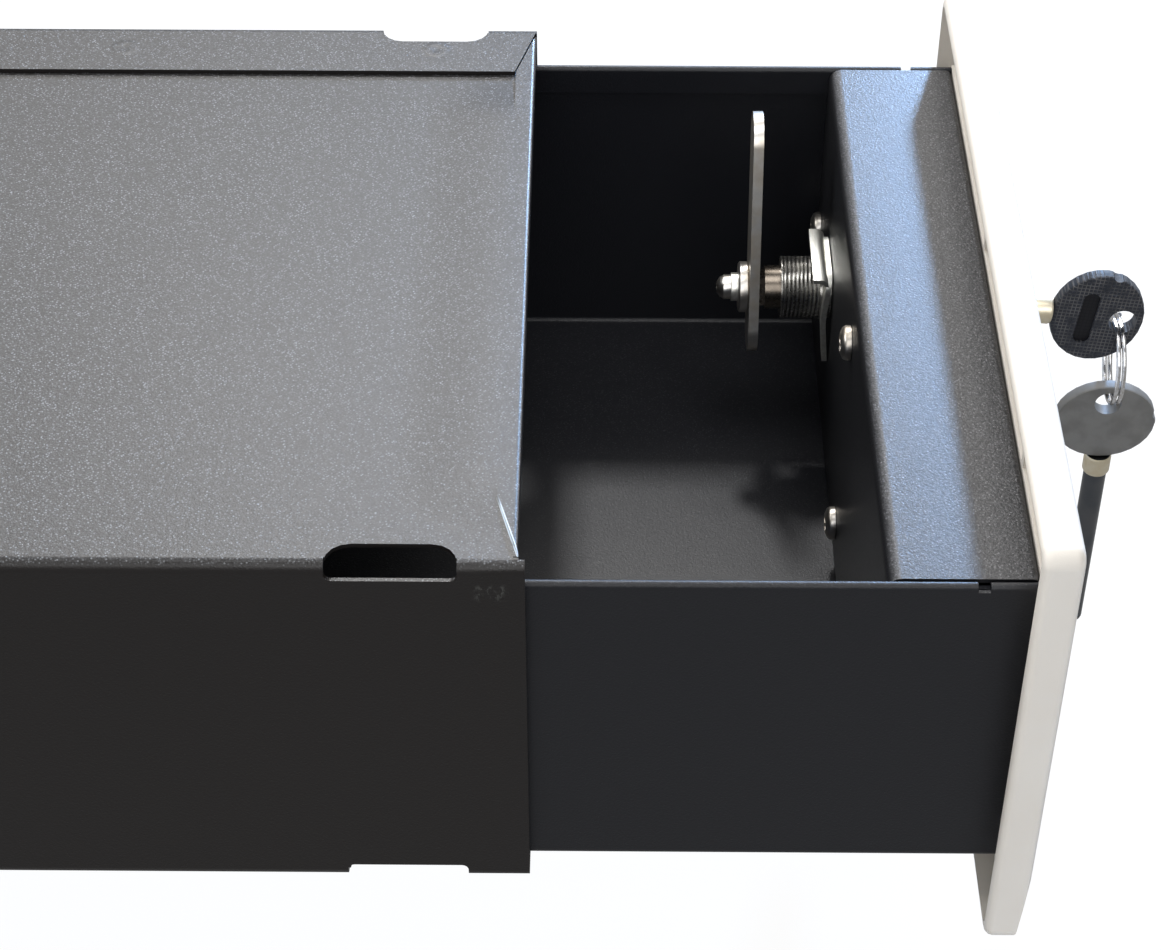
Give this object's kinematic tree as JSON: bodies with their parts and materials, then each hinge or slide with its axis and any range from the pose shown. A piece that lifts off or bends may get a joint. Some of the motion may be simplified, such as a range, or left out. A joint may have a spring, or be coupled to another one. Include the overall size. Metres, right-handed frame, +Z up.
{
  "type": "under desk drawer safe",
  "caption": "Sheet-steel sleeve for the underside of a desk with a sliding drawer, moulded front, cam lock with a long key, and a spare key on a split ring.",
  "frame": {"origin": "middle of the top of the hem at the sleeve's mouth, which goes against the desk", "axes": "+X the way the drawer opens, +Y towards the lock's side, +Z up towards the desk"},
  "size_m": [0.547, 0.2558, 0.2098],
  "materials": {
    "powder_coat": "fine textured powder coat, satin",
    "drawer_paint": "smooth dark paint, satin",
    "cream_moulding": "fine moulded texture",
    "zinc_steel": "bright zinc plate",
    "cast_zinc": "nickel-plated cast zinc",
    "spring_steel": "plated spring steel",
    "chrome_wire": "bright chrome",
    "shaft_steel": "dark bright steel",
    "collar_brass": "polished",
    "bow_plastic": "dark moulding, one face finely gridded",
    "nylon": "natural nylon"
  },
  "bodies": {
    "sleeve": {"sleeve_shell": "powder_coat", "sleeve_back_plate": "powder_coat", "lock_strike": "zinc_steel", "glide_strip_near": "nylon", "glide_strip_far": "nylon", "back_rivet_near_low": "zinc_steel", "back_rivet_near_high": "zinc_steel", "back_rivet_far_low": "zinc_steel", "back_rivet_far_high": "zinc_steel", "back_rivet_floor_near": "zinc_steel", "back_rivet_floor_far": "zinc_steel"},
    "drawer": {"drawer_tray": "drawer_paint", "drawer_back": "drawer_paint", "front_box": "drawer_paint", "front_panel": "cream_moulding", "lock_body": "cast_zinc", "lock_clip": "spring_steel", "panel_screw_top": "zinc_steel", "panel_screw_bottom": "zinc_steel", "panel_screw_far": "zinc_steel", "panel_screw_near": "zinc_steel", "panel_spacer_top": "zinc_steel", "panel_spacer_bottom": "zinc_steel", "panel_spacer_far": "zinc_steel", "panel_spacer_near": "zinc_steel"},
    "lock_turn": {"lock_core": "cast_zinc", "lock_cam": "zinc_steel", "cam_washer": "zinc_steel", "cam_spring_washer": "spring_steel", "cam_screw": "zinc_steel", "lock_pin_1": "collar_brass", "lock_pin_2": "collar_brass", "lock_pin_3": "collar_brass", "lock_pin_4": "collar_brass", "lock_pin_5": "collar_brass", "lock_pin_6": "collar_brass", "lock_pin_7": "collar_brass"},
    "key": {"key_shaft": "shaft_steel", "key_collar": "collar_brass", "key_bow": "bow_plastic"},
    "key_ring": {"split_ring": "chrome_wire"},
    "spare_key": {"spare_key_shaft": "shaft_steel", "spare_key_collar": "collar_brass", "spare_key_bow": "bow_plastic"}
  },
  "joints": [
    {"name": "drawer_slide", "type": "slide", "parent": "sleeve", "child": "drawer", "axis": [1, 0, 0], "range_m": [-0.1265, 0.1375]},
    {"name": "lock_turn", "type": "hinge", "parent": "drawer", "child": "lock_turn", "pos_m": [0.0935, 0.067, -0.0594], "axis": [-1, 0, 0], "range_deg": [-45, 0]},
    {"name": "key_pull", "type": "slide", "parent": "lock_turn", "child": "key", "axis": [0.9925, 0, -0.1219], "range_m": [0, 0.07]},
    {"name": "ring_swing", "type": "hinge", "parent": "key", "child": "key_ring", "pos_m": [0.18521, 0.067, -0.07061], "axis": [0, -1, 0], "range_deg": [-10, 60]},
    {"name": "spare_key_swing", "type": "hinge", "parent": "key_ring", "child": "spare_key", "pos_m": [0.18521, 0.067, -0.10388], "axis": [0, -1, 0], "range_deg": [-8, 60]}
  ]
}
